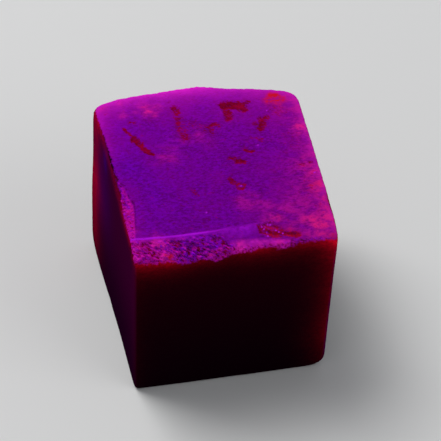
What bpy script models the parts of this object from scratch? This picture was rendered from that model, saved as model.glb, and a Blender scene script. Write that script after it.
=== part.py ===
"""Ruby cube: a rough-sawn block of ruby about 20 mm across, resting on its bottom face.

Metres, +Z up, +X right, -Y front. The origin is the middle of the block's outline on the table.

The block is the space inside six saw cuts that aren't quite square to each other. It is worn round
along its edges and knocked flat at some corners. A ragged chip takes off the top front edge, a
narrow one the left end of the top left edge, and at the back the stone snapped before the saw was
through, which left a blunt ledge. A few shallow natural pits are still open in the sawn top.

depth_outside() is below zero inside the stone and above zero outside it. The mesh is a gridded
cube whose points slide along rays from the stone's middle until that function is zero.
"""

import bmesh
import bpy
import numpy as np
from mathutils import Vector, noise

MM = 0.001

# ---- Driving dimensions, in millimetres from the middle of the block ----

HALF = 10.0  # half of the nominal 20 mm edge, and the height of the middle above the table
BOTTOM, TOP, LEFT, RIGHT, FRONT, BACK = range(6)

# For each saw cut, the way it faces and how far it is from the middle of the block.
SAW_CUTS = {
    BOTTOM: ((0.0, 0.0, -1.0), 10.0),
    TOP: ((-0.003, -0.002, 1.0), 10.12),
    LEFT: ((-1.0, -0.050, -0.003), 9.95),
    RIGHT: ((1.0, -0.008, 0.010), 10.16),
    FRONT: ((0.010, -1.0, 0.012), 9.93),
    BACK: ((0.045, 1.0, 0.0), 10.26),
}
EDGE_WEAR = 0.22  # larger means rounder edges
BITE_WEAR = 0.05  # the same for the rims of the bites, which are fresher

# Corners knocked flat: the three cuts that meet there, the way the flat faces, and how much it takes off.
CORNER_FLATS = [
    ((BOTTOM, RIGHT, FRONT), (0.62, -0.34, -0.70), 0.65),
    ((BOTTOM, LEFT, BACK), (-0.45, 0.50, -0.74), 0.40),
    ((BOTTOM, RIGHT, BACK), (0.50, 0.62, -0.60), 0.80),
    ((TOP, RIGHT, BACK), (0.72, 0.60, 0.35), 0.50),
    ((TOP, LEFT, BACK), (-0.66, 0.66, 0.36), 0.40),
    ((TOP, RIGHT, FRONT), (0.62, -0.48, 0.62), 0.35),
]

# Shell-shaped bites out of the edges: the two cuts that meet there, the place along the edge, the
# radius of the ball that the bite follows, and how deep it goes.
EDGE_BITES = [
    ((TOP, RIGHT), -5.9, 6.0, 0.42),
    ((TOP, LEFT), 4.6, 4.0, 0.25),
    ((RIGHT, BACK), -4.0, 4.5, 0.90),
    ((RIGHT, BACK), 4.6, 2.4, 0.35),
    ((LEFT, BACK), 5.6, 2.6, 0.15),
    ((BOTTOM, LEFT), 1.6, 3.4, 0.40),
    ((BOTTOM, RIGHT), 3.4, 2.4, 0.35),
    ((BOTTOM, BACK), -4.2, 3.4, 0.50),
]

# The left cut wanders outwards by this much towards the bottom of its back edge.
LEFT_WANDER = 0.30

# The chip along the top front edge. The top bends down at the crease, and its drop where it meets
# the front varies from left to right: a deep scoop, a knuckle where the scoop ends, then a long slope.
CREASE = ([-9.7, -5.4, -2.0, 0.5, 4.3, 10.0], [-7.82, -8.02, -7.95, -7.65, -7.10, -7.05])  # x, and y there
CREASE_BLUR = ([-10.0, 0.0, 3.5, 10.0], [0.05, 0.12, 0.60, 0.90])
FRONT_EDGE_Y = -9.9
FRONT_DROP = (
    [-9.9, -8.8, -7.4, -5.7, -4.3, -2.9, -1.9, -1.1, -0.3, 0.5, 1.4, 3.8, 6.5, 9.0, 10.0],
    [1.20, 1.46, 1.62, 1.68, 1.60, 1.50, 1.32, 1.08, 0.90, 1.05, 1.14, 1.00, 0.82, 0.82, 1.00],
)

# The narrow chip along the top left edge: its inner line, as y and the x there.
SIDE_CHIP = (
    [-9.9, -8.0, -6.7, -5.4, -4.4, -3.4, -2.8, -2.0, -0.9, 0.6, 2.0],
    [-9.5, -9.05, -8.86, -8.69, -8.58, -8.54, -8.66, -8.90, -9.08, -9.50, -9.98],
)
SIDE_CHIP_SLOPE = 0.55
SIDE_CHIP_BLUR = 0.07

# The ledge at the back: x, how far it stands out there, and the heights between which it fades.
LEDGE = (
    [-10.0, -7.6, -4.9, -1.9, 0.3, 1.4, 3.2, 6.2, 8.6, 10.0],
    [0.0, 0.65, 1.06, 1.46, 1.66, 1.46, 1.05, 0.72, 0.22, 0.0],
)
LEDGE_FOOT, LEDGE_FULL = -1.5, 8.0
LEDGE_SIDE_Y = 8.0  # what lies behind this belongs to the ledge, not to the front chip

# Natural pits left open in the top: the line along the bottom of each, its half width and its depth.
PITS = [
    ([(-7.6, 6.4), (-7.0, 4.9), (-6.4, 4.0), (-5.7, 3.2)], 0.62, 0.28),
    ([(2.5, 8.9), (2.8, 7.9), (2.9, 6.7)], 0.75, 0.26),
    ([(3.0, 8.6), (4.7, 8.4)], 0.70, 0.22),
    ([(6.8, 6.3), (5.9, 5.8), (5.2, 5.0)], 0.70, 0.22),
    ([(2.3, -8.3), (3.6, -8.6), (6.2, -9.2)], 0.80, 0.36),
    ([(1.0, -1.7), (2.0, -2.7)], 0.60, 0.16),
]

# Roughness: how far the surface strays and how wide the lumps are, on sawn and on broken faces.
SAWN_RELIEF, SAWN_GRAIN = 0.035, 5.0
BROKEN_RELIEF, BROKEN_GRAIN = 0.17, 0.95

CELLS = 28  # grid cells along each side of each face
CELL_CROWDING = 0.28  # how strongly the cells crowd towards the edges
FLAT_WITHIN = 0.06  # points this close to the table are set on it


def unit(direction):
    direction = np.array(direction, float)
    return direction / np.linalg.norm(direction)


def stone_corner(cuts):
    """The point where three saw cuts meet."""
    normals = np.array([unit(SAW_CUTS[cut][0]) for cut in cuts])
    offsets = np.array([SAW_CUTS[cut][1] for cut in cuts])
    return np.linalg.solve(normals, offsets)


def bite_centre(cuts, place, radius, depth):
    """The middle of the ball that bites into the edge where two cuts meet."""
    facing = [unit(SAW_CUTS[cut][0]) for cut in cuts]
    along = np.abs(np.round(np.cross(*facing)))
    edge_point = np.linalg.solve([*facing, along], [SAW_CUTS[cuts[0]][1], SAW_CUTS[cuts[1]][1], place])
    return edge_point + unit(facing[0] + facing[1]) * (radius - depth)


def smooth_step(low, high, value):
    share = np.clip((value - low) / (high - low), 0.0, 1.0)
    return share * share * (3.0 - 2.0 * share)


def soft_max(heights, blur):
    """The largest of several heights, with the corner between any two rounded by about blur."""
    return blur * np.logaddexp.reduce(np.array(heights) / blur, axis=0)


def bend(distance, blur):
    """Zero before the line, the distance past it, and a curve of width blur between the two."""
    return blur * np.logaddexp(0.0, distance / blur)


def distance_to_line(x, y, points):
    nearest = np.full(x.shape, np.inf)
    for (x0, y0), (x1, y1) in zip(points, points[1:]):
        along = ((x - x0) * (x1 - x0) + (y - y0) * (y1 - y0)) / ((x1 - x0) ** 2 + (y1 - y0) ** 2)
        along = np.clip(along, 0.0, 1.0)
        gap = np.hypot(x - x0 - along * (x1 - x0), y - y0 - along * (y1 - y0))
        nearest = np.minimum(nearest, gap)
    return nearest


def front_chip_depth(x, y):
    crease = np.interp(x, *CREASE)
    slope = np.interp(x, *FRONT_DROP) / (crease - FRONT_EDGE_Y)
    return slope * bend(crease - y, np.interp(x, *CREASE_BLUR))


def side_chip_depth(x, y):
    return SIDE_CHIP_SLOPE * bend(np.interp(y, *SIDE_CHIP) - x, SIDE_CHIP_BLUR)


def pit_depth(x, y):
    depth = np.zeros(x.shape)
    for points, half_width, deepest in PITS:
        depth = np.maximum(depth, deepest * smooth_step(half_width, 0.0, distance_to_line(x, y, points)))
    return depth


def ledge_reach(x, z):
    return np.interp(x, *LEDGE) * smooth_step(LEDGE_FOOT, LEDGE_FULL, z)


def depth_outside(points):
    """How far each point is outside the stone, in millimetres from the middle of the block."""
    x, y, z = points.T
    heights = []
    for cut, (direction, offset) in SAW_CUTS.items():
        height = points @ unit(direction) - offset
        if cut == TOP:
            height = height + front_chip_depth(x, y) + side_chip_depth(x, y) + pit_depth(x, y)
        if cut == BACK:
            height = height - ledge_reach(x, z)
        if cut == LEFT:
            height = height - LEFT_WANDER * smooth_step(-6.0, 10.0, y) * smooth_step(8.0, -4.0, z)
        heights.append(height)
    for cuts, direction, bite in CORNER_FLATS:
        corner = stone_corner(cuts)
        heights.append((points - corner) @ unit(direction) + bite)
    fresh = [soft_max(heights, EDGE_WEAR)]
    for cuts, place, radius, depth in EDGE_BITES:
        centre = bite_centre(cuts, place, radius, depth)
        fresh.append(radius - np.linalg.norm(points - centre, axis=1))
    return soft_max(fresh, BITE_WEAR)


def onto_stone(points):
    """Each point moved along the ray from the middle of the block until it is on the stone."""
    near, far = np.full(len(points), 0.4), np.full(len(points), 1.5)
    for _ in range(40):
        middle = (near + far) / 2
        outside = depth_outside(points * middle[:, None]) > 0
        far = np.where(outside, middle, far)
        near = np.where(outside, near, middle)
    return points * near[:, None]


def grid_to_block(grid):
    """Stretches the cube from -1 to 1 so that its corners lie where the saw cuts meet."""
    crowded = grid * (1 + CELL_CROWDING) - CELL_CROWDING * grid**3
    block = np.zeros(grid.shape)
    for side_x, cut_x in ((-1, LEFT), (1, RIGHT)):
        for side_y, cut_y in ((-1, FRONT), (1, BACK)):
            for side_z, cut_z in ((-1, BOTTOM), (1, TOP)):
                share = np.prod((1 + crowded * (side_x, side_y, side_z)) / 2, axis=1)
                block += share[:, None] * stone_corner((cut_x, cut_y, cut_z))
    return block


def brokenness(points):
    """1 where the stone is broken, 0 where it is sawn."""
    x, y, z = points.T
    crease = np.interp(x, *CREASE)
    rough_end = smooth_step(1.0, -0.6, x)
    front = smooth_step(0.0, 0.5, crease - y) * rough_end * smooth_step(7.9, 8.5, z)
    side = smooth_step(0.0, 0.3, np.interp(y, *SIDE_CHIP) - x) * smooth_step(9.0, 9.4, z)
    ledge = smooth_step(0.25, 0.8, ledge_reach(x, z)) * smooth_step(9.4, 10.4, y)
    return np.clip(np.maximum(front, np.maximum(0.6 * side, ledge)), 0.0, 1.0)


def relief(point, broken):
    """How far the surface strays outwards at a point, in millimetres."""
    sawn = SAWN_RELIEF * noise.noise(Vector(point) / SAWN_GRAIN)
    lumps = BROKEN_RELIEF * noise.fractal(Vector(point) / BROKEN_GRAIN, 0.9, 2.0, 3)
    return sawn + broken * lumps


def split_detailed_cells(shape):
    """Splits the cells of the top that lie in a pit or in the broken part of a chip."""
    top_faces = [face for face in shape.faces if face.normal.z > 0.5]
    middles = grid_to_block(np.array([face.calc_center_median() for face in top_faces]))
    detail = np.maximum(pit_depth(*middles[:, :2].T), brokenness(middles) * (middles[:, 1] < LEDGE_SIDE_Y))
    edges = {edge for face, amount in zip(top_faces, detail) if amount > 0.02 for edge in face.edges}
    edges = sorted(edges, key=lambda edge: edge.index)
    bmesh.ops.subdivide_edges(shape, edges=edges, cuts=1, use_grid_fill=True)


def block_mesh():
    """The gridded cube, moved onto the stone and roughened, in millimetres from its middle."""
    shape = bmesh.new()
    bmesh.ops.create_cube(shape, size=2.0)
    bmesh.ops.subdivide_edges(shape, edges=shape.edges[:], cuts=CELLS - 1, use_grid_fill=True)
    shape.normal_update()
    shape.edges.index_update()
    split_detailed_cells(shape)
    grid = np.array([vert.co for vert in shape.verts])
    points = onto_stone(grid_to_block(grid))
    for vert, point in zip(shape.verts, points):
        vert.co = point
    shape.normal_update()
    normals = np.array([vert.normal for vert in shape.verts])
    strays = np.array([relief(*pair) for pair in zip(points, brokenness(points))])
    points += normals * strays[:, None]
    on_table = points[:, 2] < FLAT_WITHIN - HALF
    points[on_table, 2] = -HALF
    for vert, point in zip(shape.verts, points):
        vert.co = point
    merge_resting_face(shape)
    return shape


def merge_resting_face(shape):
    """Makes the faces that lie flat on the table into one."""
    resting = [face for face in shape.faces if all(vert.co.z == -HALF for vert in face.verts)]
    bmesh.ops.dissolve_faces(shape, faces=resting, use_verts=False)


def place_on_table(shape):
    """Moves the block so that its outline is centred on the origin and its bottom is at zero, in metres."""
    points = np.array([vert.co for vert in shape.verts])
    middle = (points.min(axis=0) + points.max(axis=0)) / 2
    for vert in shape.verts:
        x, y, z = vert.co
        vert.co = ((x - middle[0]) * MM, (y - middle[1]) * MM, (z + HALF) * MM)


def ruby_material():
    material = bpy.data.materials.new("sawn_ruby")
    material.use_nodes = True
    shader = material.node_tree.nodes["Principled BSDF"]
    shader.inputs["Base Color"].default_value = (0.16, 0.003, 0.10, 1.0)
    shader.inputs["Roughness"].default_value = 0.6
    shader.inputs["Metallic"].default_value = 0.0
    return material


def main():
    for leftover in list(bpy.data.objects):
        bpy.data.objects.remove(leftover)
    shape = block_mesh()
    place_on_table(shape)
    bmesh.ops.recalc_face_normals(shape, faces=shape.faces[:])
    mesh = bpy.data.meshes.new("ruby_cube")
    shape.to_mesh(mesh)
    shape.free()
    mesh.shade_smooth()
    mesh.set_sharp_from_angle(angle=np.radians(35))
    mesh.materials.append(ruby_material())
    block = bpy.data.objects.new("ruby_cube", mesh)
    bpy.context.collection.objects.link(block)


main()
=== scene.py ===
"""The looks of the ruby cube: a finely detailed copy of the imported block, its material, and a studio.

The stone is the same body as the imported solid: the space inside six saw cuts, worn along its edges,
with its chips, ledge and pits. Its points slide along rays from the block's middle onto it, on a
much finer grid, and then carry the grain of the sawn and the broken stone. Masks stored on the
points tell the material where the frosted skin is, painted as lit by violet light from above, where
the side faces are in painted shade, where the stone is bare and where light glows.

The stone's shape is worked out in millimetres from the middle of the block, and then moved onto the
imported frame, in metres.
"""

import math

import bmesh
import bpy
import numpy as np
from mathutils import Matrix, Vector, noise


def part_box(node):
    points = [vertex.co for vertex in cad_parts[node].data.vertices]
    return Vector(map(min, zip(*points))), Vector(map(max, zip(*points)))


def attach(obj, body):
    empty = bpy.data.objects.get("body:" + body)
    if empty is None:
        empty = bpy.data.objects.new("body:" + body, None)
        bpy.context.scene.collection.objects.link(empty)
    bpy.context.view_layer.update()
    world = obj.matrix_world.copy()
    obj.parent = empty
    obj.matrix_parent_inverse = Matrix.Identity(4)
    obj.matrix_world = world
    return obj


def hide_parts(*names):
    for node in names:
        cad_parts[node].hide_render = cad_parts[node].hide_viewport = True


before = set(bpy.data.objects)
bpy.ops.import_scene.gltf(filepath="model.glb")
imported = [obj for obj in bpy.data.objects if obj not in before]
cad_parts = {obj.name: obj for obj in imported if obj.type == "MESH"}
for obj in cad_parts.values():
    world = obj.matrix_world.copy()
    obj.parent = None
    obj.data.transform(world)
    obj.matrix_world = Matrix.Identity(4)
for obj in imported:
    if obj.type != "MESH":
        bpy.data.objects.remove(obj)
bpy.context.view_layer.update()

MM = 0.001

# ---- The block, in millimetres from its middle, as in the imported solid ----

HALF = 10.0  # half of the nominal edge, and the height of the middle above the table
BOTTOM, TOP, LEFT, RIGHT, FRONT, BACK = range(6)
OUTLINE_MIDDLE = (-0.214, 0.952)  # where the frame's origin is, seen from the middle of the block

# For each saw cut, the way it faces and how far it is from the middle of the block.
SAW_CUTS = {
    BOTTOM: ((0.0, 0.0, -1.0), 10.0),
    TOP: ((-0.003, -0.002, 1.0), 10.12),
    LEFT: ((-1.0, -0.05, -0.003), 9.95),
    RIGHT: ((1.0, -0.008, 0.01), 10.16),
    FRONT: ((0.01, -1.0, 0.012), 9.93),
    BACK: ((0.045, 1.0, 0.0), 10.26),
}
EDGE_WEAR = 0.22  # larger means rounder edges
BITE_WEAR = 0.05  # the same for the rims of the bites, which are fresher

# Corners knocked flat: the three cuts that meet there, the way the flat faces, and how much it takes off.
CORNER_FLATS = [
    ((BOTTOM, RIGHT, FRONT), (0.62, -0.34, -0.7), 0.65),
    ((BOTTOM, LEFT, BACK), (-0.45, 0.5, -0.74), 0.4),
    ((BOTTOM, RIGHT, BACK), (0.5, 0.62, -0.6), 0.8),
    ((TOP, RIGHT, BACK), (0.72, 0.6, 0.35), 0.5),
    ((TOP, LEFT, BACK), (-0.66, 0.66, 0.36), 0.4),
    ((TOP, RIGHT, FRONT), (0.62, -0.48, 0.62), 0.35),
]

# Shell-shaped bites out of the edges: the two cuts that meet there, the place along the edge, the
# radius of the ball that the bite follows, and how deep it goes.
EDGE_BITES = [
    ((TOP, RIGHT), -5.9, 6.0, 0.42),
    ((TOP, LEFT), 4.6, 4.0, 0.25),
    ((RIGHT, BACK), -4.0, 4.5, 0.9),
    ((RIGHT, BACK), 4.6, 2.4, 0.35),
    ((LEFT, BACK), 5.6, 2.6, 0.15),
    ((BOTTOM, LEFT), 1.6, 3.4, 0.4),
    ((BOTTOM, RIGHT), 3.4, 2.4, 0.35),
    ((BOTTOM, BACK), -4.2, 3.4, 0.5),
]

# The left cut wanders outwards by this much towards the bottom of its back edge.
LEFT_WANDER = 0.30
LEFT_WANDER_BACK, LEFT_WANDER_DOWN = (-6.0, 10.0), (8.0, -4.0)  # where it begins and is full, in y and z

# The chip along the top front edge. The top bends down at the crease, and its drop where it meets
# the front varies from left to right: a deep scoop, a knuckle where the scoop ends, then a long slope.
CREASE = ([-9.7, -5.4, -2.0, 0.5, 4.3, 10.0], [-7.82, -8.02, -7.95, -7.65, -7.1, -7.05])
CREASE_BLUR = ([-10.0, 0.0, 3.5, 10.0], [0.05, 0.12, 0.6, 0.9])
FRONT_EDGE_Y = -9.9
FRONT_DROP = (
    [-9.9, -8.8, -7.4, -5.7, -4.3, -2.9, -1.9, -1.1, -0.3, 0.5, 1.4, 3.8, 6.5, 9.0, 10.0],
    [1.2, 1.46, 1.62, 1.68, 1.6, 1.5, 1.32, 1.08, 0.9, 1.05, 1.14, 1.0, 0.82, 0.82, 1.0],
)

# The narrow chip along the top left edge: its inner line, as y and the x there.
SIDE_CHIP = (
    [-9.9, -8.0, -6.7, -5.4, -4.4, -3.4, -2.8, -2.0, -0.9, 0.6, 2.0],
    [-9.5, -9.05, -8.86, -8.69, -8.58, -8.54, -8.66, -8.9, -9.08, -9.5, -9.98],
)
SIDE_CHIP_SLOPE = 0.55
SIDE_CHIP_BLUR = 0.07

# The ledge at the back: x, how far it stands out there, and the heights between which it fades.
LEDGE = (
    [-10.0, -7.6, -4.9, -1.9, 0.3, 1.4, 3.2, 6.2, 8.6, 10.0],
    [0.0, 0.65, 1.06, 1.46, 1.66, 1.46, 1.05, 0.72, 0.22, 0.0],
)
LEDGE_FOOT, LEDGE_FULL = -1.5, 8.0

# ---- Where the sawn top is bare of its frosted skin ----
# The line along each bare patch, its half width, how deep it is, and how bare it is. From 1 up it is
# fully bare. In the wide shallow ones at the end of the list the skin is only thin.

BARE_PATCHES = [
    ([(-7.9, 6.8), (-7.8, 6.25), (-7.45, 5.8), (-7.2, 5.45)], 0.15, 0.06, 0.95),
    ([(-7.16, 5.18), (-7.08, 5.02)], 0.42, 0.26, 1.1),
    ([(-6.86, 4.57), (-6.42, 3.67), (-5.93, 3.04)], 0.3, 0.2, 1.1),
    ([(-5.93, 3.04), (-5.66, 2.75)], 0.18, 0.1, 1.0),
    ([(-7.3, 7.45), (-7.2, 7.45)], 0.17, 0.05, 0.9),
    ([(-6.8, 7.35), (-6.66, 7.3)], 0.16, 0.04, 0.7),
    ([(-5.3, 7.55), (-5.15, 7.6)], 0.2, 0.03, 0.35),
    ([(-2.9, 9.8), (-2.7, 9.2)], 0.2, 0.03, 0.3),
    ([(-2.6, 8.85), (-2.4, 8.25)], 0.36, 0.06, 0.9),
    ([(-2.5, 7.3), (-2.55, 6.5)], 0.34, 0.05, 0.66),
    ([(-2.6, 6.0), (-2.56, 5.5)], 0.3, 0.05, 0.62),
    ([(-2.25, 5.3), (-2.25, 4.5)], 0.36, 0.06, 0.66),
    ([(-1.9, 7.1), (-1.3, 6.75)], 0.16, 0.03, 0.45),
    ([(-1.3, 6.6), (-0.6, 6.1), (0.2, 5.9)], 0.32, 0.03, 0.4),
    ([(0.4, 5.8), (0.95, 6.05), (1.35, 5.85)], 0.3, 0.06, 0.8),
    ([(0.6, 5.6), (0.5, 4.8)], 0.34, 0.06, 0.6),
    ([(-0.15, 5.2), (0.13, 4.9)], 0.17, 0.04, 0.6),
    ([(2.5, 8.55), (3.3, 8.45), (4.1, 8.3)], 0.56, 0.16, 1.1),
    ([(4.15, 8.2), (4.25, 7.75)], 0.5, 0.15, 1.0),
    ([(2.5, 8.1), (2.6, 7.3), (2.55, 6.6)], 0.42, 0.12, 0.88),
    ([(4.5, 8.6), (5.0, 8.75)], 0.24, 0.05, 0.75),
    ([(5.6, 6.1), (6.4, 6.25)], 0.34, 0.12, 0.8),
    ([(5.72, 5.7), (5.6, 5.2), (5.4, 4.75)], 0.38, 0.14, 0.95),
    ([(4.95, 5.5), (5.1, 5.5)], 0.22, 0.05, 0.75),
    ([(7.0, 8.0), (7.2, 7.6)], 0.35, 0.03, 0.35),
    ([(6.3, 8.7), (6.35, 8.6)], 0.25, 0.03, 0.35),
    ([(7.4, 6.7), (7.5, 6.65)], 0.24, 0.04, 0.55),
    ([(4.1, 3.75), (4.65, 3.52)], 0.18, 0.04, 0.5),
    ([(4.95, 3.35), (5.15, 3.05)], 0.24, 0.04, 0.6),
    ([(3.1, 2.36), (3.2, 2.3)], 0.16, 0.03, 0.45),
    ([(3.35, 2.05), (3.8, 1.78), (4.05, 1.8)], 0.19, 0.08, 1.1),
    ([(1.65, 1.2), (2.0, 1.15)], 0.22, 0.06, 0.9),
    ([(2.2, 0.75), (2.85, 0.5)], 0.32, 0.22, 1.05),
    ([(1.1, -1.5), (1.35, -2.15)], 0.26, 0.08, 0.88),
    ([(-2.8, -2.3), (-2.35, -3.2)], 0.18, 0.03, 0.62),
    ([(2.7, -7.85), (2.8, -8.3)], 0.3, 0.24, 0.82),
    ([(3.2, -7.75), (3.95, -7.85), (4.55, -8.3)], 0.36, 0.2, 0.6),
    ([(3.3, -8.4), (3.8, -8.6), (4.5, -8.75)], 0.32, 0.26, 0.8),
    ([(4.5, -8.45), (5.2, -8.85), (6.15, -9.05)], 0.25, 0.22, 0.86),
    ([(8.25, -0.7), (8.4, -0.72)], 0.24, 0.03, 0.6),
    ([(9.1, -0.5), (9.25, -0.5)], 0.18, 0.03, 0.6),
    ([(-4.5, 1.7), (-4.3, 1.7)], 0.15, 0.03, 0.45),
    ([(0.5, -1.0), (0.65, -1.0)], 0.14, 0.03, 0.6),
    ([(8.6, -6.0), (8.75, -6.1)], 0.22, 0.03, 0.45),
    ([(-2.6, 8.8), (-2.3, 7.0), (-2.2, 4.6)], 0.6, 0.01, 0.38),
    ([(-1.9, 6.5), (0.4, 5.6)], 0.5, 0.01, 0.4),
    ([(3.0, -8.1), (4.2, -8.35)], 0.3, 0.02, 0.55),
    ([(7.0, 7.7), (7.9, 6.9)], 0.8, 0.01, 0.26),
    ([(8.0, 3.3), (8.2, 2.2)], 0.8, 0.01, 0.24),
    ([(8.1, -3.4), (8.4, -4.2)], 0.7, 0.01, 0.26),
]

# In half widths, how far the bareness of a patch reaches, where it is full and how far its depth
# reaches, and then a margin in millimetres for the first.
PATCH_FORM = (1.45, 0.45, 1.3, 0.06)

# A small ring-shaped pit: its middle, its radius, its half width, its depth and how bare it is.
RING_PIT = ((1.92, -2.62), 0.34, 0.17, 0.12, 0.85)
RING_FORM = (1.5, 0.4, 1.2, 0.0)  # the same four for the ring

# The deepest hollows (below 0) and the highest lumps of the broken stone: the middle, the radius and
# the height of each.
CHIP_LUMPS = [
    ((-5.6, -8.52), 0.3, -0.9), ((-5.15, -8.58), 0.26, -0.7), ((-4.32, -9.22), 0.25, -0.8),
    ((-3.34, -9.25), 0.2, -0.8), ((-1.73, -8.64), 0.26, -0.6), ((-1.09, -8.73), 0.36, -0.8),
    ((-0.52, -9.2), 0.28, -0.5), ((-2.76, -8.59), 0.22, -0.6), ((-3.53, -8.69), 0.3, -0.5),
    ((-4.77, -8.2), 0.2, -0.6), ((-4.16, -8.49), 0.22, -0.6), ((-8.03, -8.66), 0.34, -0.7),
    ((-7.6, -9.12), 0.2, -0.8), ((-7.2, -9.32), 0.2, -0.8), ((-8.33, -8.23), 0.22, -0.6),
    ((-8.9, -9.14), 0.16, -0.6), ((-8.55, -9.42), 0.16, -0.6), ((-7.13, -8.31), 0.46, 0.7),
    ((-6.57, -9.51), 0.44, 0.8), ((-2.13, -9.09), 0.28, 0.3), ((-2.14, -9.82), 0.22, 0.8),
    ((-4.79, -8.93), 0.24, 0.6), ((-5.59, -9.26), 0.22, 0.6), ((-9.01, -8.65), 0.26, 0.5),
    ((-8.98, -9.41), 0.26, 0.5), ((-6.6, -8.8), 0.5, 0.35), ((-2.25, -9.3), 0.35, -0.35),
]

# ---- Places in the skin ----

PLACE_SPREAD = 0.9  # how softly the pink, blue and orange-red places fade

# Hazy pink places in the skin: the middle, the radius and the strength of each.
PINK_PLACES = [
    ((-5.4, 9.5), 0.6, 0.45), ((-5.3, 8.5), 0.6, 0.45), ((-4.2, 9.1), 0.45, 0.35),
    ((-7.75, 10.4), 0.6, 0.35), ((-7.8, 8.7), 0.5, 0.25), ((-6.5, 8.75), 0.3, 0.25),
    ((-4.3, 2.4), 1.2, 0.2), ((-2.8, 4.4), 1.0, 0.12), ((-0.6, 4.7), 1.1, 0.18),
    ((2.0, -4.6), 1.2, 0.22), ((3.6, -5.4), 0.9, 0.18), ((3.6, -7.1), 0.8, 0.22),
    ((5.4, -6.4), 1.2, 0.2), ((6.9, -5.0), 1.5, 0.09), ((7.9, 7.5), 0.9, 0.06), ((9.3, 4.2), 0.75, 0.6),
    ((-10.2, 9.6), 0.6, 0.5), ((8.5, -0.3), 0.6, 0.35), ((9.4, -2.0), 0.45, 0.3),
    ((9.6, -3.8), 0.55, 0.72), ((9.6, -4.9), 0.45, 0.45), ((9.5, -7.3), 0.6, 0.45),
    ((7.1, -7.4), 0.6, 0.35), ((7.9, -7.9), 0.7, 0.46), ((8.1, -8.9), 0.75, 0.55),
    ((0.75, -9.55), 0.5, 0.7), ((2.6, -9.5), 0.4, 0.35), ((4.1, -9.65), 0.4, 0.6),
    ((4.3, -7.2), 0.5, 0.22), ((6.0, -8.0), 0.6, 0.18), ((-7.1, -8.1), 0.55, 0.5),
    ((-6.3, -9.6), 0.55, 0.9), ((-2.0, -9.8), 0.4, 0.72), ((-9.25, -3.8), 0.4, 0.35),
    ((-9.3, -6.3), 0.45, 0.3), ((-5.2, 9.0), 0.8, 0.25), ((2.8, 7.6), 1.3, 0.06),
    ((6.9, -9.3), 0.45, 0.3), ((9.1, -8.2), 0.6, 0.35),
]

# Places where the skin is bluer than elsewhere: the middle, the radius and the strength of each.
BLUE_PLACES = [
    ((-8.3, 1.2), 1.9, 0.7), ((-8.2, 3.8), 1.6, 0.4), ((-6.8, -5.0), 3.0, 0.3), ((-7.4, 6.8), 1.6, 0.5),
    ((0.5, 8.4), 1.0, 0.5), ((1.1, 10.2), 0.9, 0.45), ((-2.2, -4.6), 2.6, 0.15),
    ((-4.5, 5.0), 2.0, 0.3), ((1.2, -8.4), 0.9, 0.3), ((-3.5, 0.5), 3.0, 0.2), ((-6.3, -1.8), 1.7, 0.4),
    ((3.3, 9.6), 0.8, 0.3),
]

# Places where the skin glows orange-red: the middle, the radius and the strength of each.
HOT_PLACES = [
    ((7.3, 8.66), 0.6, 0.72), ((7.95, 8.8), 0.66, 0.86), ((8.5, 8.6), 0.35, 0.4),
    ((-6.3, -9.3), 0.22, 0.9), ((9.9, -9.9), 0.6, 0.8), ((9.3, -3.6), 0.7, 0.2), ((7.6, 7.4), 0.7, 0.2),
    ((-9.9, 9.8), 0.8, 0.16), ((-9.4, -8.7), 0.6, 0.16), ((6.0, -9.1), 0.3, 0.35),
    ((4.0, -8.2), 0.9, 0.22), ((5.5, -8.8), 0.55, 0.42), ((-9.2, -5.6), 0.9, 0.08),
    ((3.5, 8.4), 0.9, 0.09),
]

# Tiny polished spots in the skin that catch the violet light.
SPARKLES = [
    (6.5, 7.2), (4.6, 2.5), (9.3, -1.9), (-2.0, -5.5), (1.92, -2.6), (3.5, -7.6), (3.72, -7.64),
    (2.89, -7.81), (3.05, -8.07), (3.27, -8.34), (4.14, -8.29), (4.4, -8.43), (3.28, -8.77),
    (4.75, -8.62),
]
SPARKLE_RADIUS = 0.13
MARK_CORE = 0.2  # the share of such a small mark, from its middle, that is at its full strength

# The dark line between the side chip and the sawn top, from back to front.
SEAM = [
    (-9.32, -0.5), (-9.03, -0.95), (-8.94, -1.4), (-8.92, -2.1), (-8.66, -2.85), (-8.53, -3.4),
    (-8.58, -4.4), (-8.69, -5.4), (-8.86, -6.7),
]
SEAM_HALF_WIDTH = 0.13
SEAM_STRENGTH = ([-7.0, -4.0, -3.0], [0.55, 0.6, 1.0])  # against y
SEAM_GAPS = (-0.55, -0.05)  # the noise below which the seam is gone, and above which it is whole
SEAM_ABOVE = 9.0

# ---- Glows ----

# The red glow of the side faces along their edges: the face, the edge, how far in it stays at its
# full strength, how far it reaches from there, and that strength.
SIDE_GLOWS = [
    (FRONT, TOP, 0.0, 0.2, 0.5),
    (FRONT, TOP, 0.0, 0.75, 0.28),
    (FRONT, TOP, 0.0, 2.5, 0.025),
    (FRONT, RIGHT, 0.0, 1.0, 0.19),
    (FRONT, LEFT, 0.0, 0.7, 0.015),
    (LEFT, TOP, 0.0, 0.22, 0.3),
    (LEFT, TOP, 0.0, 0.6, 0.07),
    (LEFT, BACK, 2.6, 1.45, 1.0),
    (LEFT, FRONT, 0.0, 0.6, 0.02),
    (RIGHT, TOP, 0.0, 0.7, 0.35),
    (RIGHT, TOP, 0.0, 2.4, 0.1),
    (RIGHT, FRONT, 0.0, 0.5, 0.12),
    (RIGHT, BACK, 0.8, 1.4, 0.22),
    (BACK, TOP, 0.0, 1.0, 0.4),
    (BACK, TOP, 0.0, 2.8, 0.12),
    (BACK, LEFT, 0.6, 1.4, 0.26),
    (BACK, RIGHT, 0.6, 1.4, 0.22),
]

# The magenta rim of the top and the violet haze behind it: the edge, how far the rim reaches and how
# strong it is, and the same for the haze.
TOP_GLOWS = [
    (BACK, 1.0, 0.94, 4.5, 0.32),
    (RIGHT, 0.36, 0.72, 1.6, 0.12),
    (LEFT, 0.45, 0.14, 1.2, 0.5),
    (FRONT, 0.2, 0.12, 0.8, 0.12),
]
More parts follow.
